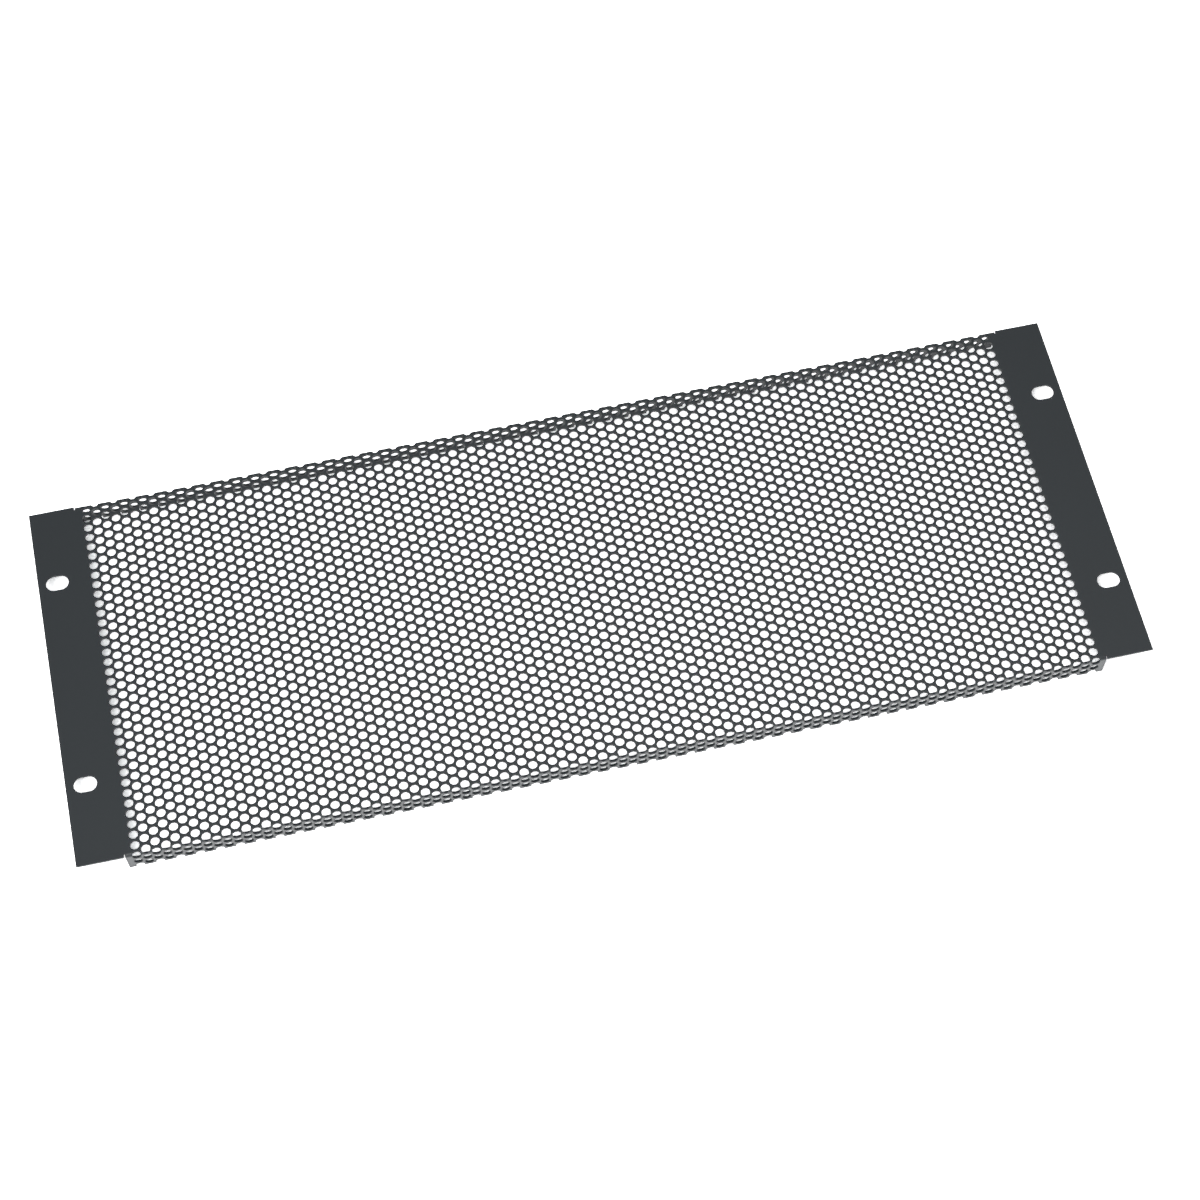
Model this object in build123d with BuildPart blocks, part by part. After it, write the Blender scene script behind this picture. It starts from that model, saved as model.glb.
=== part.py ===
from build123d import *
import os
from math import ceil, sqrt

# A rack blanking panel folded from one perforated steel sheet, in millimetres. It lies face up,
# resting on its two flanges. X runs across the rack, Y up the rack and Z out of the face, and the
# origin is midway between the flanges, on the surface that their free edges rest on.

# Outline of the folded panel
panel_width = 482.6
panel_height = 177.0
overall_depth = 12.7
sheet_thickness = 1.2
inner_bend_radius = 0.3

# Both flanges stop short of the ears, and a square notch beside each end lets the sheet bend
flange_length = 440.0
relief_width = 0.8

# Slots for the rack's rail screws, centred on the rails' hole pattern
slot_spacing_x = 465.1
slot_spacing_y = 101.6
slot_length = 10.3
slot_height = 7.4

# Perforation of the face: six-sided openings in staggered columns, with even webs between them
opening_pitch = 17.2
web_width = 4.2
bend_margin = 1.2
end_margin = 3.0
lowest_cut_opening = 4.0

# Perforation of the flanges: one row of whole openings, and half openings along the free edge
flange_opening = 7.0
flange_web = 2.5

# Sizes that follow from the ones above
outer_bend_radius = inner_bend_radius + sheet_thickness
rear_of_face = overall_depth - sheet_thickness
face_between_bends = panel_height - 2 * outer_bend_radius
opening_across_flats = opening_pitch - web_width
opening_across_corners = opening_across_flats * 2 / sqrt(3)
column_spacing = opening_pitch * sqrt(3) / 2
field_length = flange_length - 2 * end_margin
field_height = face_between_bends - 2 * bend_margin
columns_each_side = int((field_length - opening_across_corners) / 2 / column_spacing)
columns = 2 * columns_each_side + 1
rows_each_side = ceil(field_height / 2 / opening_pitch)
whole_opening_height = flange_opening / 2 + flange_web


def staggered_points():
    """Centres of the face's openings: every other column is half a pitch higher."""
    points = []
    for column in range(-columns_each_side, columns_each_side + 1):
        for row in range(-rows_each_side, rows_each_side + 1):
            height = (row + column % 2 / 2) * opening_pitch
            nearest_edge = abs(height) - opening_across_flats / 2
            if field_height / 2 - nearest_edge >= lowest_cut_opening:
                points.append((column * column_spacing, height))
    return points


with BuildPart() as panel:
    # The face and both flanges, as one brake-formed channel
    with BuildSketch(Plane.YZ) as channel_section:
        with BuildLine():
            outside = FilletPolyline(
                (-panel_height / 2, 0),
                (-panel_height / 2, overall_depth),
                (panel_height / 2, overall_depth),
                (panel_height / 2, 0),
                radius=outer_bend_radius,
            )
            offset(outside, amount=sheet_thickness, side=Side.RIGHT)
        make_face()
    extrude(amount=flange_length / 2, both=True)

    # The flat ears beyond the flanges, with the bend reliefs and the slots
    with BuildSketch(Plane.XY.offset(rear_of_face)) as ears:
        Rectangle(panel_width, panel_height)
        Rectangle(flange_length, panel_height, mode=Mode.SUBTRACT)
        with GridLocations(flange_length + relief_width, panel_height, 2, 2):
            Rectangle(relief_width, 2 * outer_bend_radius, mode=Mode.SUBTRACT)
        with GridLocations(slot_spacing_x, slot_spacing_y, 2, 2):
            SlotOverall(slot_length, slot_height, mode=Mode.SUBTRACT)
    extrude(amount=sheet_thickness)

    # The flanges' openings, cut through both flanges at once
    with BuildSketch(Plane.XZ) as flange_openings:
        with Locations((0, whole_opening_height)), GridLocations(column_spacing, 0, columns, 1):
            RegularPolygon(flange_opening / sqrt(3), 6)
        with GridLocations(column_spacing, 0, columns - 1, 1):
            RegularPolygon(flange_opening / sqrt(3), 6)
    extrude(amount=panel_height, both=True, mode=Mode.SUBTRACT)

    # The face's openings, cut off straight where they meet the margin along a bend
    with BuildSketch(Plane.XY.offset(rear_of_face)) as face_openings:
        with Locations(*staggered_points()):
            RegularPolygon(opening_across_corners / 2, 6)
        Rectangle(field_length, field_height, mode=Mode.INTERSECT)
    extrude(amount=sheet_thickness, mode=Mode.SUBTRACT)

panel.part.label = "panel"

os.makedirs("parts", exist_ok=True)
export_step(panel.part, "parts/panel.step")
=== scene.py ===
"""Rack blanking panel: one steel sheet, perforated, folded along both long edges and powder coated.

Lengths are in metres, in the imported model's frame: X runs across the rack, Y up the rack and Z out
of the face, and the origin is midway between the flanges, on the surface that their free edges rest
on.
"""

from math import cos, pi, radians, sin

import bmesh
import bpy
from bpy.props import FloatProperty, FloatVectorProperty, IntProperty, PointerProperty
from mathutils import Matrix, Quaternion, Vector


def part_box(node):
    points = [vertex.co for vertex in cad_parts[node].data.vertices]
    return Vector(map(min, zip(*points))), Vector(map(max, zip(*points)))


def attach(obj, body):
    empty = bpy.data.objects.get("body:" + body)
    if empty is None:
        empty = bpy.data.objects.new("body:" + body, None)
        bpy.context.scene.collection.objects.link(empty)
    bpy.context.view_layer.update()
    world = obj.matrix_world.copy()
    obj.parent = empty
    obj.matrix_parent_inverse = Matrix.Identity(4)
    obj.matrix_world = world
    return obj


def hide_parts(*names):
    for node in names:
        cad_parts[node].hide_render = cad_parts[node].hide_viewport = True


bl_info = {
    "name": "Rack Blanking Panel",
    "version": (1, 0, 0),
    "blender": (4, 5, 0),
    "location": "View3D > Sidebar > Rack Panel",
    "description": "Builds a perforated and folded steel blanking panel for a 19 inch rack",
    "category": "Add Mesh",
}

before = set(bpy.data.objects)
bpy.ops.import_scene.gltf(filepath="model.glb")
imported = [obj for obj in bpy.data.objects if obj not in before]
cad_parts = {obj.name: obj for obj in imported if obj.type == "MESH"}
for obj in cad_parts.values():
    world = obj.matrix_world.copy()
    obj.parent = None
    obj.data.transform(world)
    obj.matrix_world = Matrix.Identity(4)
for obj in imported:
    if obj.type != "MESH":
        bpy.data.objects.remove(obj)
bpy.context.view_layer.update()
PANEL_LOW, PANEL_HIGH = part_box("panel")


def linear(colour):
    """An sRGB hex colour as the linear red, green and blue that shaders take."""
    channels = [int(colour[i : i + 2], 16) / 255 for i in (1, 3, 5)]
    return [c / 12.92 if c <= 0.04045 else ((c + 0.055) / 1.055) ** 2.4 for c in channels]


def add(tree, kind, inputs=None, **settings):
    """Adds a node with its settings. Each input is a value, a socket, a node or a list of these."""
    new = tree.nodes.new(kind)
    for name, value in settings.items():
        setattr(new, name, value)
    for key, value in (inputs or {}).items():
        for source in value if isinstance(value, list) else [value]:
            if isinstance(source, bpy.types.Node):
                source = source.outputs[0]
            if isinstance(source, bpy.types.NodeSocket):
                tree.links.new(source, new.inputs[key])
            else:
                new.inputs[key].default_value = source
    return new


def maths(tree, operation, *values):
    """Adds a math node that works on these values, sockets or nodes."""
    return add(tree, "ShaderNodeMath", dict(enumerate(values)), operation=operation)


def directly_seen(tree):
    """1 on rays that picture a surface, from the camera, a reflection or glass, and 0 on others."""
    ray = add(tree, "ShaderNodeLightPath").outputs
    seen = maths(tree, "MAXIMUM", ray["Is Camera Ray"], ray["Is Glossy Ray"])
    return maths(tree, "MAXIMUM", seen, ray["Is Transmission Ray"])


class SheetSizes(bpy.types.PropertyGroup):
    """Sizes of the cut and folded sheet."""

    width: FloatProperty(
        name="Width",
        description="Width of the panel over both ears",
        default=PANEL_HIGH[0] - PANEL_LOW[0],
        unit="LENGTH",
    )
    height: FloatProperty(
        name="Height",
        description="Height of the panel over both flanges",
        default=PANEL_HIGH[1] - PANEL_LOW[1],
        unit="LENGTH",
    )
    depth: FloatProperty(
        name="Depth",
        description="Depth from the face to the flanges' free edges",
        default=PANEL_HIGH[2] - PANEL_LOW[2],
        unit="LENGTH",
    )
    thickness: FloatProperty(
        name="Thickness",
        description="Thickness of the coated sheet",
        default=0.0012,
        unit="LENGTH",
    )
    bend_radius: FloatProperty(
        name="Bend Radius",
        description="Outer radius of the bend between the face and each flange",
        default=0.0015,
        unit="LENGTH",
    )
    bend_steps: IntProperty(
        name="Bend Steps",
        description="Flat steps that make up each quarter turn",
        default=6,
        min=1,
    )
    flange_length: FloatProperty(
        name="Flange Length",
        description="Length of each flange, between the bend reliefs",
        default=0.44,
        unit="LENGTH",
    )
    relief_width: FloatProperty(
        name="Relief Width",
        description="Width of the notch between a flange and an ear",
        default=0.0004,
        unit="LENGTH",
    )
    slot_spacing_x: FloatProperty(
        name="Slot Spacing Across",
        description="Distance between the slots of the two ears",
        default=0.4651,
        unit="LENGTH",
    )
    slot_spacing_y: FloatProperty(
        name="Slot Spacing Up",
        description="Distance between the two slots of an ear",
        default=0.1016,
        unit="LENGTH",
    )
    slot_length: FloatProperty(
        name="Slot Length",
        description="Length of a screw slot",
        default=0.0103,
        unit="LENGTH",
    )
    slot_height: FloatProperty(
        name="Slot Height",
        description="Height of a screw slot",
        default=0.0074,
        unit="LENGTH",
    )
    edge_break: FloatProperty(
        name="Edge Break",
        description="Width of the softened edge that the coat leaves along the sheet's outline",
        default=0.0002,
        unit="LENGTH",
    )


class PerforationSizes(bpy.types.PropertyGroup):
    """Sizes of the staggered round holes."""

    hole_diameter: FloatProperty(
        name="Hole Diameter",
        description="Diameter of a hole, coat included",
        default=0.004,
        unit="LENGTH",
    )
    hole_sides: IntProperty(
        name="Hole Sides",
        description="Flat sides that make up each round hole",
        default=10,
        min=6,
    )
    pitch: FloatProperty(
        name="Pitch",
        description="Distance between neighbouring holes of a column",
        default=0.005,
        unit="LENGTH",
    )
    column_spacing: FloatProperty(
        name="Column Spacing",
        description="Distance between neighbouring columns, which are half a pitch apart in height",
        default=0.00439,
        unit="LENGTH",
    )
    columns: IntProperty(
        name="Columns",
        description="Columns of holes along the panel",
        default=99,
        min=1,
    )
    holes_in_column: IntProperty(
        name="Holes in a Column",
        description="Holes in a column, from free edge to free edge of the flat sheet",
        default=40,
        min=1,
    )


class CoatLook(bpy.types.PropertyGroup):
    """Colour and grain of the powder coat."""

    colour: FloatVectorProperty(
        name="Colour",
        description="Colour of the coat",
        default=linear("#1e2428"),
        subtype="COLOR",
        min=0,
        max=1,
    )
    thin_colour: FloatVectorProperty(
        name="Thin Colour",
        description="Colour where the coat is thinner",
        default=linear("#22292d"),
        subtype="COLOR",
        min=0,
        max=1,
    )
    drift_size: FloatProperty(
        name="Drift Size",
        description="Distance over which the coat's thickness drifts",
        default=0.06,
        unit="LENGTH",
    )
    roughness: FloatProperty(
        name="Roughness",
        description="Roughness of the coat",
        default=0.48,
        min=0,
        max=1,
        subtype="FACTOR",
    )
    roughness_spread: FloatProperty(
        name="Roughness Spread",
        description="How much rougher or smoother single grains are",
        default=0.06,
        min=0,
        max=1,
        subtype="FACTOR",
    )
    peel_size: FloatProperty(
        name="Peel Size",
        description="Width of a swell in the coat",
        default=0.0018,
        unit="LENGTH",
    )
    peel_depth: FloatProperty(
        name="Peel Depth",
        description="Depth of a swell in the coat",
        default=0.00002,
        precision=6,
        unit="LENGTH",
    )
    grain_size: FloatProperty(
        name="Grain Size",
        description="Width of a grain of the coat",
        default=0.0004,
        unit="LENGTH",
    )
    grain_depth: FloatProperty(
        name="Grain Depth",
        description="Depth between the grains of the coat",
        default=0.000008,
        precision=6,
        unit="LENGTH",
    )


class StageLook(bpy.types.PropertyGroup):
    """Floor, lamps and surroundings."""

    floor_colour: FloatVectorProperty(
        name="Floor Colour",
        description="Colour of the paper that the panel lies on",
        default=linear("#f7f7f7"),
        subtype="COLOR",
        min=0,
        max=1,
    )
    floor_size: FloatProperty(
        name="Floor Size",
        description="Width of the square of paper",
        default=4.0,
        min=0,
        unit="LENGTH",
    )
    floor_exposure: FloatProperty(
        name="Floor Exposure",
        description="How many times brighter the paper is pictured than it lights the panel",
        default=3.3,
        min=1,
    )
    surroundings: FloatProperty(
        name="Surroundings",
        description="Strength of the even light from all round",
        default=0.3,
        min=0,
    )
    key_power: FloatProperty(
        name="Key Power",
        description="Power of the softbox above the camera",
        default=29.0,
        min=0,
        unit="POWER",
    )
    key_size: FloatProperty(
        name="Key Size",
        description="Width of the softbox above the camera",
        default=1.0,
        min=0,
        unit="LENGTH",
    )
    top_power: FloatProperty(
        name="Top Power",
        description="Power of the softbox overhead",
        default=6.5,
        min=0,
        unit="POWER",
    )
    top_size: FloatProperty(
        name="Top Size",
        description="Width of the softbox overhead",
        default=0.8,
        min=0,
        unit="LENGTH",
    )


def powder_coat():
    """Polyester powder coat on steel, sprayed and baked.

    It is a dark blue-grey satin: the film flows into shallow swells as it bakes, and its fine grain
    spreads the studio's light into a soft sheen that grows towards grazing angles.
    """
    look = bpy.context.scene.coat_look
    material = bpy.data.materials.new("powder_coat_on_steel")
    material.use_nodes = True
    tree = material.node_tree
    tree.nodes.clear()
    place = add(tree, "ShaderNodeTexCoord").outputs["Object"]

    def noise(size, detail):
        inputs = {"Vector": place, "Scale": 1 / size, "Detail": detail}
        return add(tree, "ShaderNodeTexNoise", inputs).outputs["Fac"]

    # The film's thickness drifts over the sheet, about a hand's width at a time. Its swells are
    # about 1 mm apart and a grain of powder is about 0.05 mm: both are drawn wider, to show.
    drift = noise(look.drift_size, 3.0)
    peel = noise(look.peel_size, 1.0)
    grain = noise(look.grain_size, 2.0)
    tone = add(
        tree,
        "ShaderNodeMix",
        {"Factor": drift, 6: (*look.colour, 1), 7: (*look.thin_colour, 1)},
        data_type="RGBA",
    )
    gloss = add(
        tree,
        "ShaderNodeMapRange",
        {
            "Value": grain,
            "From Min": 0.3,
            "From Max": 0.7,
            "To Min": look.roughness - look.roughness_spread,
            "To Max": look.roughness + look.roughness_spread,
        },
    )
    bumps = {"Height": peel, "Distance": look.peel_depth, "Strength": 0.6}
    swell = add(tree, "ShaderNodeBump", bumps)
    bumps = {"Height": grain, "Distance": look.grain_depth, "Strength": 0.6, "Normal": swell}
    grit = add(tree, "ShaderNodeBump", bumps)
    surface = add(
        tree,
        "ShaderNodeBsdfPrincipled",
        {
            "Base Color": tone.outputs[2],
            "Roughness": gloss.outputs["Result"],
            "IOR": 1.55,
            "Normal": grit,
        },
    )
    add(tree, "ShaderNodeOutputMaterial", {"Surface": surface})
    return material


def flat_blank(sizes):
    """The sheet before it is perforated and folded: its outline, slots and bend lines."""
    ear_edge, ear_top = sizes.width / 2, sizes.height / 2
    flange_end = sizes.flange_length / 2
    ear_root = flange_end + sizes.relief_width
    bend_start = ear_top - sizes.bend_radius
    bend_length = pi / 2 * (sizes.bend_radius - sizes.thickness / 2)
    steps = range(sizes.bend_steps + 1)
    bend_lines = [bend_start + bend_length * k / sizes.bend_steps for k in steps]
    free_edge = bend_lines[-1] + sizes.depth - sizes.bend_radius
    slot_points = 28
    mesh = bmesh.new()
    corners = {}

    def corner(x, y):
        key = round(x, 7), round(y, 7)
        if key not in corners:
            corners[key] = mesh.verts.new((x, y, sizes.depth))
        return corners[key]

    def loop(points):
        ring = [corner(*point) for point in points]
        pairs = list(zip(ring, ring[1:] + ring[:1]))
        return [mesh.edges.get(pair) or mesh.edges.new(pair) for pair in pairs]

    # The perforated part, in strips that end at the bend lines
    lines = [-free_edge, *[-y for y in reversed(bend_lines)], *bend_lines, free_edge]
    for low, high in zip(lines, lines[1:]):
        left, right = -flange_end, flange_end
        strip = [(left, low), (right, low), (right, high), (left, high)]
        mesh.faces.new([corner(*point) for point in strip])

    # On each side, the neck between the reliefs and the slotted ear
    for side in (-1, 1):
        neck = [(flange_end, -bend_start), (ear_root, -bend_start), (ear_root, bend_start)]
        mesh.faces.new([corner(side * x, y) for x, y in [*neck, (flange_end, bend_start)]][::side])
        ear = [(ear_root, bend_start), (ear_root, ear_top), (ear_edge, ear_top)]
        ear += [(x, -y) for x, y in reversed(ear)]
        edges = loop([(side * x, y) for x, y in ear])
        for level in (-1, 1):
            slot = []
            for k in range(slot_points):
                angle = 2 * pi * (k + 0.5) / slot_points
                end = 1 if cos(angle) > 0 else -1
                slot.append(
                    (
                        side * sizes.slot_spacing_x / 2
                        + end * (sizes.slot_length - sizes.slot_height) / 2
                        + cos(angle) * sizes.slot_height / 2,
                        level * sizes.slot_spacing_y / 2 + sin(angle) * sizes.slot_height / 2,
                    )
                )
            edges += loop(slot)
        bmesh.ops.triangle_fill(mesh, edges=edges, use_beauty=True, normal=(0, 0, 1))

    # Its thickness, and the edges that the coat softens
    bmesh.ops.recalc_face_normals(mesh, faces=mesh.faces)
    grown = bmesh.ops.extrude_face_region(mesh, geom=mesh.faces[:])
    moved = [v for v in grown["geom"] if isinstance(v, bmesh.types.BMVert)]
    bmesh.ops.translate(mesh, verts=moved, vec=(0, 0, -sizes.thickness))
    bmesh.ops.recalc_face_normals(mesh, faces=mesh.faces)
    rims = [
        e
        for e in mesh.edges
        if e.calc_face_angle(0) > radians(60)
        and abs(e.verts[0].co.z - e.verts[1].co.z) < sizes.thickness / 2
    ]
    bmesh.ops.bevel(mesh, geom=rims, offset=sizes.edge_break, segments=1, affect="EDGES")
    data = bpy.data.meshes.new("flat_blank")
    mesh.to_mesh(data)
    mesh.free()
    return data


def perforate_and_fold():
    """A node tree that punches the staggered holes in the flat blank and folds its two flanges."""
    tree = bpy.data.node_groups.new("perforate_and_fold", "GeometryNodeTree")
    tree.interface.new_socket("Sheet", in_out="INPUT", socket_type="NodeSocketGeometry")
    inputs = {
        "Hole Diameter": "Float",
        "Hole Sides": "Int",
        "Pitch": "Float",
        "Column Spacing": "Float",
        "Columns": "Int",
        "Holes in a Column": "Int",
        "Face Height": "Float",
        "Thickness": "Float",
        "Bend Radius": "Float",
        "Bend Start": "Float",
        "Fold Reach": "Float",
        "Coat": "Material",
    }
    for name, kind in inputs.items():
        tree.interface.new_socket(name, in_out="INPUT", socket_type="NodeSocket" + kind)
    tree.interface.new_socket("Sheet", in_out="OUTPUT", socket_type="NodeSocketGeometry")
    given = add(tree, "NodeGroupInput").outputs

    # Hole centres: a grid whose odd and even columns stand a quarter pitch down and up
    column_gaps = maths(tree, "SUBTRACT", given["Columns"], 1.0)
    hole_gaps = maths(tree, "SUBTRACT", given["Holes in a Column"], 1.0)
    grid = add(
        tree,
        "GeometryNodeMeshGrid",
        {
            "Size X": maths(tree, "MULTIPLY", column_gaps, given["Column Spacing"]),
            "Size Y": maths(tree, "MULTIPLY", hole_gaps, given["Pitch"]),
            "Vertices X": given["Columns"],
            "Vertices Y": given["Holes in a Column"],
        },
    )
    index = add(tree, "GeometryNodeInputIndex")
    column = maths(tree, "FLOOR", maths(tree, "DIVIDE", index, given["Holes in a Column"]))
    down_or_up = maths(tree, "MULTIPLY_ADD", maths(tree, "MODULO", column, 2.0), 2.0, -1.0)
    quarter_pitch = maths(tree, "DIVIDE", given["Pitch"], 4.0)
    stagger = maths(tree, "MULTIPLY", down_or_up, quarter_pitch)
    offset = add(tree, "ShaderNodeCombineXYZ", {"Y": stagger, "Z": given["Face Height"]})
    centres = add(tree, "GeometryNodeSetPosition", {"Geometry": grid, "Offset": offset})

    # A punch stands at each centre, as wide as makes its flat sides enclose the round hole's area
    turn = maths(tree, "DIVIDE", 2 * pi, given["Hole Sides"])
    wider = maths(tree, "SQRT", maths(tree, "DIVIDE", turn, maths(tree, "SINE", turn)))
    radius = maths(tree, "DIVIDE", given["Hole Diameter"], 2.0)
    punch = add(
        tree,
        "GeometryNodeMeshCylinder",
        {
            "Vertices": given["Hole Sides"],
            "Radius": maths(tree, "MULTIPLY", radius, wider),
            "Depth": maths(tree, "MULTIPLY", given["Thickness"], 4.0),
        },
        fill_type="NGON",
    )
    row = add(tree, "GeometryNodeInstanceOnPoints", {"Points": centres, "Instance": punch})
    punched = add(
        tree,
        "GeometryNodeMeshBoolean",
        {
            "Mesh 1": given["Sheet"],
            "Mesh 2": add(tree, "GeometryNodeRealizeInstances", {"Geometry": row}),
        },
        operation="DIFFERENCE",
        solver="MANIFOLD",
    )
    facets = add(tree, "GeometryNodeTriangulate", {"Mesh": punched})

    # Hole walls are round and the sheet's edges are crisp
    round_all = add(
        tree,
        "GeometryNodeSetShadeSmooth",
        {"Geometry": facets, "Shade Smooth": True},
        domain="FACE",
    )
    edge_angle = add(tree, "GeometryNodeInputMeshEdgeAngle")
    crisp = maths(tree, "GREATER_THAN", edge_angle, radians(40))
    shaded = add(
        tree,
        "GeometryNodeSetShadeSmooth",
        {"Geometry": round_all, "Selection": crisp, "Shade Smooth": False},
        domain="EDGE",
    )

    # How far each point lies past the start of its bend, and how far it turns there. The sheet's
    # middle keeps its length in the bend.
    axes = add(tree, "ShaderNodeSeparateXYZ", {0: add(tree, "GeometryNodeInputPosition")}).outputs
    side = maths(tree, "SIGN", axes["Y"])
    past = maths(tree, "SUBTRACT", maths(tree, "ABSOLUTE", axes["Y"]), given["Bend Start"])
    half_thickness = maths(tree, "DIVIDE", given["Thickness"], 2.0)
    middle_radius = maths(tree, "SUBTRACT", given["Bend Radius"], half_thickness)
    bend_length = maths(tree, "MULTIPLY", middle_radius, pi / 2)
    in_bend = add(tree, "ShaderNodeClamp", {"Value": past, "Min": 0.0, "Max": bend_length})
    straight = maths(tree, "SUBTRACT", past, in_bend)
    angle = maths(tree, "DIVIDE", in_bend, middle_radius)
    inside = maths(tree, "LESS_THAN", maths(tree, "ABSOLUTE", axes["X"]), given["Fold Reach"])
    signed_angle = maths(tree, "MULTIPLY", angle, maths(tree, "MULTIPLY", side, -1.0))
    swing = maths(tree, "MULTIPLY", signed_angle, inside)

    # Each point and its normal swing about the middle of the bend
    reach = maths(tree, "ADD", given["Bend Start"], straight)
    unrolled = add(
        tree,
        "ShaderNodeCombineXYZ",
        {"X": axes["X"], "Y": maths(tree, "MULTIPLY", reach, side), "Z": axes["Z"]},
    )
    centre = add(
        tree,
        "ShaderNodeCombineXYZ",
        {
            "Y": maths(tree, "MULTIPLY", given["Bend Start"], side),
            "Z": maths(tree, "SUBTRACT", given["Face Height"], given["Bend Radius"]),
        },
    )
    swung = add(
        tree,
        "ShaderNodeVectorRotate",
        {"Vector": unrolled, "Center": centre, "Angle": swing},
        rotation_type="X_AXIS",
    )
    swung_normal = add(
        tree,
        "ShaderNodeVectorRotate",
        {"Vector": add(tree, "GeometryNodeInputNormal").outputs["Normal"], "Angle": swing},
        rotation_type="X_AXIS",
    )
    kept = add(tree, "GeometryNodeCaptureAttribute", {"Geometry": shaded}, domain="CORNER")
    kept.capture_items.new("VECTOR", "Normal")
    tree.links.new(swung_normal.outputs[0], kept.inputs["Normal"])
    folded = add(
        tree,
        "GeometryNodeSetPosition",
        {"Geometry": kept.outputs["Geometry"], "Selection": inside, "Position": swung},
    )
    rounded = add(
        tree, "GeometryNodeSetMeshNormal", {"Mesh": folded}, mode="FREE", domain="CORNER"
    )
    tree.links.new(kept.outputs["Normal"], rounded.inputs["Custom Normal"])
    whole = add(tree, "GeometryNodeRealizeInstances", {"Geometry": rounded})
    coated = add(
        tree, "GeometryNodeSetMaterial", {"Geometry": whole, "Material": given["Coat"]}
    )
    add(tree, "NodeGroupOutput", {"Sheet": coated})
    return tree


class RACKPANEL_OT_sheet(bpy.types.Operator):
    """Cut, perforate, fold and coat the sheet"""

    bl_idname = "rackpanel.make_sheet"
    bl_label = "Make the Folded Sheet"

    def execute(self, context):
        sizes, holes = context.scene.sheet_sizes, context.scene.perforation_sizes
        piece = bpy.data.objects.new("folded_sheet", flat_blank(sizes))
        context.scene.collection.objects.link(piece)
        tree = perforate_and_fold()
        values = {
            "Hole Diameter": holes.hole_diameter,
            "Hole Sides": holes.hole_sides,
            "Pitch": holes.pitch,
            "Column Spacing": holes.column_spacing,
            "Columns": holes.columns,
            "Holes in a Column": holes.holes_in_column,
            "Face Height": sizes.depth,
            "Thickness": sizes.thickness,
            "Bend Radius": sizes.bend_radius,
            "Bend Start": sizes.height / 2 - sizes.bend_radius,
            "Fold Reach": (sizes.flange_length + sizes.relief_width) / 2,
            "Coat": powder_coat(),
        }
        modifier = piece.modifiers.new("perforate_and_fold", "NODES")
        modifier.node_group = tree
        for socket in tree.interface.items_tree:
            if socket.name in values:
                modifier[socket.identifier] = values[socket.name]
        evaluated = piece.evaluated_get(context.evaluated_depsgraph_get())
        made = bpy.data.meshes.new_from_object(evaluated)
        if len(made.polygons) < holes.columns * holes.holes_in_column:
            raise RuntimeError("the holes were not cut")
        piece.modifiers.remove(modifier)
        piece.data = made
        made.name = "folded_sheet"
        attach(piece, "root")
        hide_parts("panel")
        return {"FINISHED"}


class RACKPANEL_OT_stage(bpy.types.Operator):
    """Lay the pale floor and set the soft lights round it"""

    bl_idname = "rackpanel.make_stage"
    bl_label = "Make the Stage"

    def execute(self, context):
        look = context.scene.stage_look

        # White background paper: matt, and as bright as the lights make it. Where the camera or a
        # reflection sees it, it is overexposed as in a catalogue picture, and keeps its shadows.
        paper = bpy.data.materials.new("white_background_paper")
        paper.use_nodes = True
        tree = paper.node_tree
        tree.nodes.clear()
        gain = add(
            tree,
            "ShaderNodeMapRange",
            {"Value": directly_seen(tree), "To Min": 1.0, "To Max": look.floor_exposure},
        )
        pictured = add(
            tree,
            "ShaderNodeVectorMath",
            {0: look.floor_colour, "Scale": gain},
            operation="SCALE",
        )
        matt = add(tree, "ShaderNodeBsdfDiffuse", {"Color": pictured})
        add(tree, "ShaderNodeOutputMaterial", {"Surface": matt})
        half = look.floor_size / 2
        corners = [(-half, -half, 0), (half, -half, 0), (half, half, 0), (-half, half, 0)]
        floor_mesh = bpy.data.meshes.new("floor")
        floor_mesh.from_pydata(corners, [], [(0, 1, 2, 3)])
        floor_mesh.materials.append(paper)
        floor = bpy.data.objects.new("floor", floor_mesh)
        context.scene.collection.objects.link(floor)

        # An even room fills the shadows. Where it is seen, its walls are as white as the paper, and
        # its ceiling is as dim as its light. The direction looked in has a height of 0 at the
        # horizon and 1 overhead, and the walls fade out there between 0.3 and 0.6.
        world = bpy.data.worlds.new("white_room")
        world.use_nodes = True
        tree = world.node_tree
        tree.nodes.clear()
        direction = add(tree, "ShaderNodeTexCoord").outputs["Generated"]
        height = add(tree, "ShaderNodeSeparateXYZ", {0: direction}).outputs["Z"]
        wall = add(
            tree, "ShaderNodeMapRange", {"Value": height, "From Min": 0.6, "From Max": 0.3}
        )
        white = maths(tree, "MULTIPLY", directly_seen(tree), wall)
        light = add(
            tree, "ShaderNodeMapRange", {"Value": white, "To Min": look.surroundings, "To Max": 1.0}
        )
        room = add(tree, "ShaderNodeBackground", {"Color": (1, 1, 1, 1), "Strength": light})
        add(tree, "ShaderNodeOutputWorld", {"Surface": room})
        context.scene.world = world

        # The key softbox stands above and to the left of the camera, so its light falls through the
        # holes on to what the camera sees below them. The other hangs overhead, to the right.
        for name, power, size, place in (
            ("key_softbox", look.key_power, look.key_size, (-0.57, -0.9, 1.9)),
            ("top_softbox", look.top_power, look.top_size, (0.3, 0.1, 1.9)),
        ):
            light = bpy.data.lights.new(name, "AREA")
            light.shape = "SQUARE"
            light.size = size
            light.energy = power
            lamp = bpy.data.objects.new(name, light)
            lamp.location = place
            lamp.rotation_mode = "QUATERNION"
            lamp.rotation_quaternion = (-Vector(place)).to_track_quat("-Z", "Y")
            context.scene.collection.objects.link(lamp)
        return {"FINISHED"}


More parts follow.
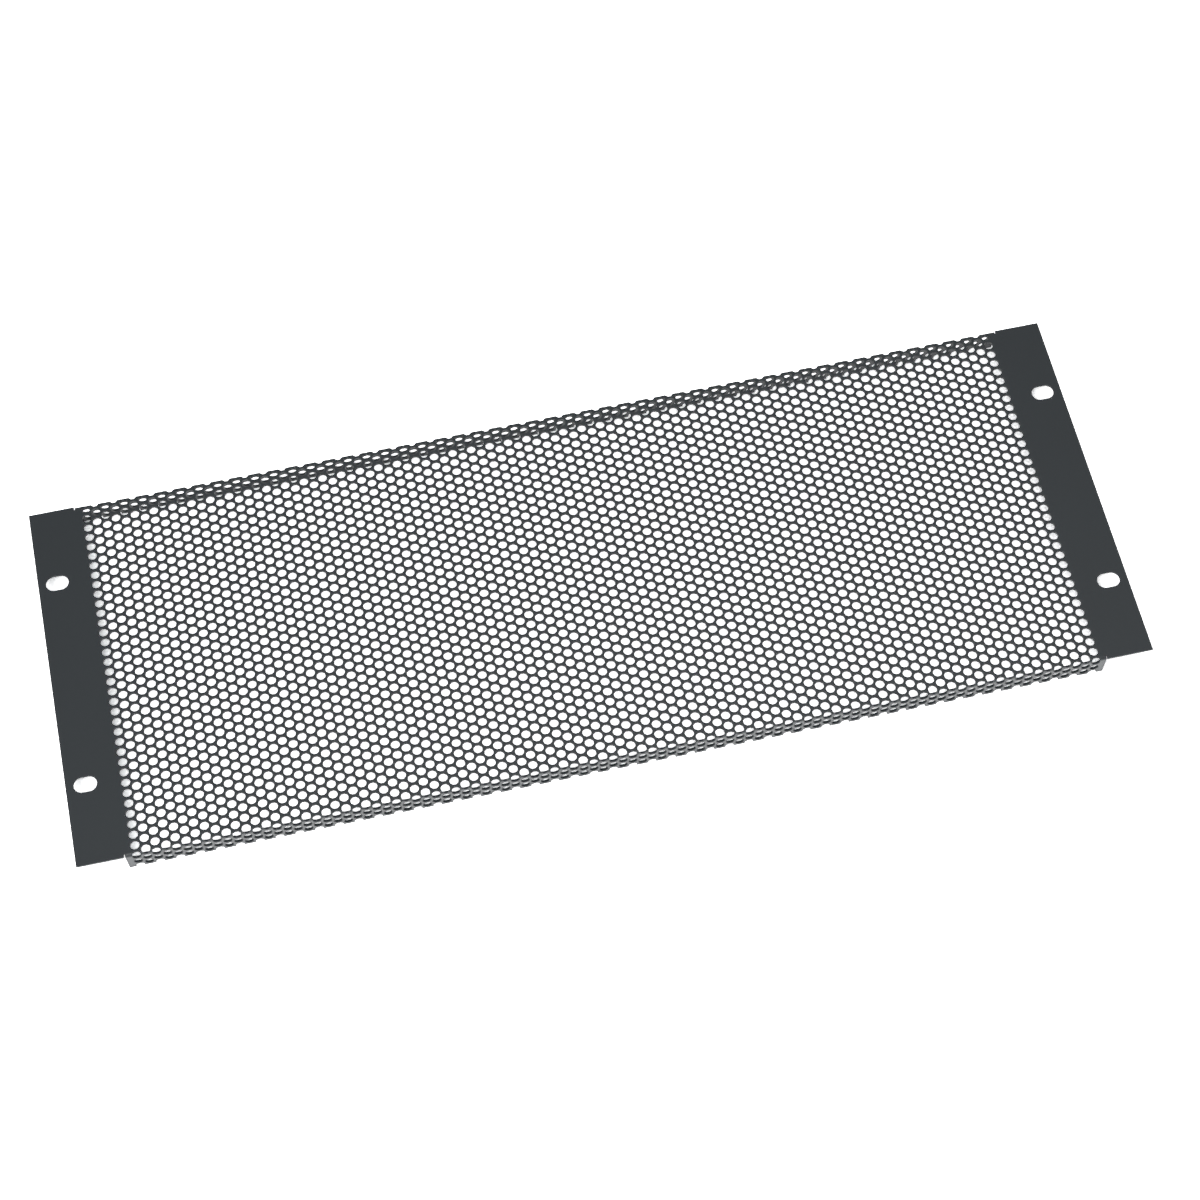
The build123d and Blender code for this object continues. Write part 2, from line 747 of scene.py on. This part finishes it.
class RACKPANEL_OT_camera(bpy.types.Operator):
    """Set the camera above the near flange, as the panel is pictured"""

    bl_idname = "rackpanel.make_camera"
    bl_label = "Make the Camera"

    def execute(self, context):
        # It looks down at about 63 degrees, from a little to the left of the panel's middle
        lens = bpy.data.cameras.new("camera")
        lens.sensor_width = 36
        lens.lens = 77.2
        lens.shift_x = 0.041
        camera = bpy.data.objects.new("camera", lens)
        camera.location = (-0.10428, -0.5294, 1.04551)
        aim = Vector((-0.01516, -0.00644, 0.0127))
        roll = Quaternion((0, 0, 1), radians(-2.523))
        camera.rotation_mode = "QUATERNION"
        camera.rotation_quaternion = (aim - camera.location).to_track_quat("-Z", "Y") @ roll
        context.scene.collection.objects.link(camera)
        context.scene.camera = camera
        return {"FINISHED"}


class RACKPANEL_PT_sidebar(bpy.types.Panel):
    """Sizes, colours and steps of the rack blanking panel"""

    bl_label = "Rack Blanking Panel"
    bl_idname = "RACKPANEL_PT_sidebar"
    bl_space_type = "VIEW_3D"
    bl_region_type = "UI"
    bl_category = "Rack Panel"

    def draw(self, context):
        scene = context.scene
        for title, group, step in (
            ("Sheet", scene.sheet_sizes, "rackpanel.make_sheet"),
            ("Perforation", scene.perforation_sizes, None),
            ("Coat", scene.coat_look, None),
            ("Stage", scene.stage_look, "rackpanel.make_stage"),
            ("Camera", None, "rackpanel.make_camera"),
        ):
            box = self.layout.box()
            box.label(text=title)
            if group:
                for name in group.__annotations__:
                    box.prop(group, name)
            if step:
                box.operator(step)


GROUPS = {
    "sheet_sizes": SheetSizes,
    "perforation_sizes": PerforationSizes,
    "coat_look": CoatLook,
    "stage_look": StageLook,
}
CLASSES = (
    *GROUPS.values(),
    RACKPANEL_OT_camera,
    RACKPANEL_OT_sheet,
    RACKPANEL_OT_stage,
    RACKPANEL_PT_sidebar,
)


def register():
    for made in CLASSES:
        bpy.utils.register_class(made)
    for name, group in GROUPS.items():
        setattr(bpy.types.Scene, name, PointerProperty(type=group))


def unregister():
    for name in GROUPS:
        delattr(bpy.types.Scene, name)
    for made in reversed(CLASSES):
        bpy.utils.unregister_class(made)


def main():
    """Builds the scene."""
    register()
    bpy.context.scene.view_settings.view_transform = "Standard"
    bpy.ops.rackpanel.make_camera()
    bpy.ops.rackpanel.make_sheet()
    bpy.ops.rackpanel.make_stage()


if __name__ == "__main__":
    main()
